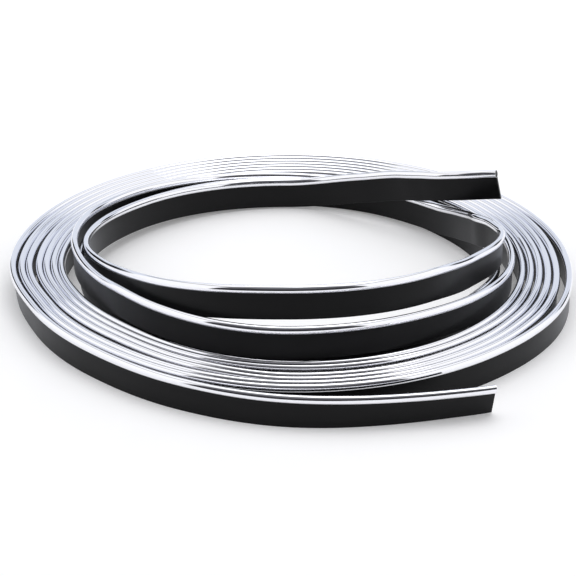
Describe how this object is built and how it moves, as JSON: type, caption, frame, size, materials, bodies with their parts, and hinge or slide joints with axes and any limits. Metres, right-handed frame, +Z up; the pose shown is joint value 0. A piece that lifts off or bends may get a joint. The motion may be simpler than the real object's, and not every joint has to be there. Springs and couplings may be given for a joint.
{
  "type": "car body side moulding",
  "caption": "Flexible trim strip, a bright rounded bead along a black edging web, lying as a loose coil.",
  "frame": {"origin": "on the floor under the middle of the coil's bounding box", "axes": "+Z up along the coil's bore, -Y towards the coil's front where the outer end lies, +X to the right seen from the front"},
  "size_m": [0.1938, 0.1982, 0.0354],
  "materials": {
    "black_pvc": "satin black PVC",
    "chrome_film": "mirror-bright film"
  },
  "bodies": {
    "root": {"black_web": "black_pvc", "chrome_bead": "chrome_film"}
  },
  "joints": []
}
